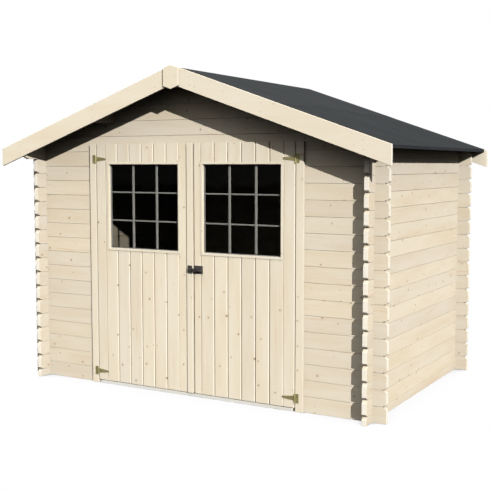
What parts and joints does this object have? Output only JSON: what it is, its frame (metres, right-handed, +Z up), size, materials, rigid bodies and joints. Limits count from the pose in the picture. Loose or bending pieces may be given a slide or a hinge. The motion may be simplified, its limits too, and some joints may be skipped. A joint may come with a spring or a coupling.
{
  "type": "garden shed",
  "caption": "Log-built garden shed with interlocking corner logs, a felted gable roof with barge boards, and a pair of glazed double doors on strap hinges.",
  "frame": {"origin": "middle of the overall footprint, on the ground", "axes": "+X along the front wall to the right seen from the front, +Y from the front wall to the back wall, +Z up"},
  "size_m": [3.3166, 2.2666, 2.4422],
  "materials": {
    "log_pine": "bare planed pine",
    "door_pine": "bare planed pine boards",
    "trim_pine": "bare planed pine trim",
    "threshold_wood": "bare planed wood",
    "roof_pine": "bare sawn pine",
    "felt": "matt bitumen felt with fine mineral grains",
    "zinc_iron": "yellow passivated zinc",
    "black_iron": "satin black",
    "rod_steel": "satin",
    "glass": "clear",
    "bar_pine": "bare planed pine bars"
  },
  "bodies": {
    "shed": {"front_wall_left": "log_pine", "front_wall_right": "log_pine", "front_gable": "log_pine", "back_wall": "log_pine", "back_gable": "log_pine", "left_wall": "log_pine", "right_wall": "log_pine", "door_lining": "trim_pine", "frame_boards": "trim_pine", "front_barge_left": "trim_pine", "front_barge_right": "trim_pine", "back_barge_left": "trim_pine", "back_barge_right": "trim_pine", "front_apex_plate": "trim_pine", "back_apex_plate": "trim_pine", "left_eaves_batten": "trim_pine", "right_eaves_batten": "trim_pine", "threshold": "threshold_wood", "ridge_purlin": "roof_pine", "left_purlin": "roof_pine", "right_purlin": "roof_pine", "left_roof_boards": "roof_pine", "right_roof_boards": "roof_pine", "left_felt": "felt", "right_felt": "felt", "left_hinge_plates": "zinc_iron", "right_hinge_plates": "zinc_iron"},
    "left_door": {"left_leaf": "door_pine", "left_ledges": "door_pine", "left_casing": "trim_pine", "left_glass": "glass", "left_bars": "bar_pine", "left_straps": "zinc_iron", "cover_batten": "trim_pine", "bolt_keeper": "black_iron"},
    "right_door": {"right_leaf": "door_pine", "right_ledges": "door_pine", "right_casing": "trim_pine", "right_glass": "glass", "right_bars": "bar_pine", "right_straps": "zinc_iron", "bolt_body": "black_iron"},
    "bolt": {"bolt_rod": "rod_steel"}
  },
  "joints": [
    {"name": "left_door_hinge", "type": "hinge", "parent": "shed", "child": "left_door", "pos_m": [-0.8785, -0.9003, 0.94], "axis": [0, 0, -1], "range_deg": [0, 130]},
    {"name": "right_door_hinge", "type": "hinge", "parent": "shed", "child": "right_door", "pos_m": [0.8785, -0.9003, 0.94], "axis": [0, 0, 1], "range_deg": [0, 130]},
    {"name": "bolt_slide", "type": "slide", "parent": "right_door", "child": "bolt", "axis": [-1, 0, 0], "range_m": [0, 0.045]}
  ]
}
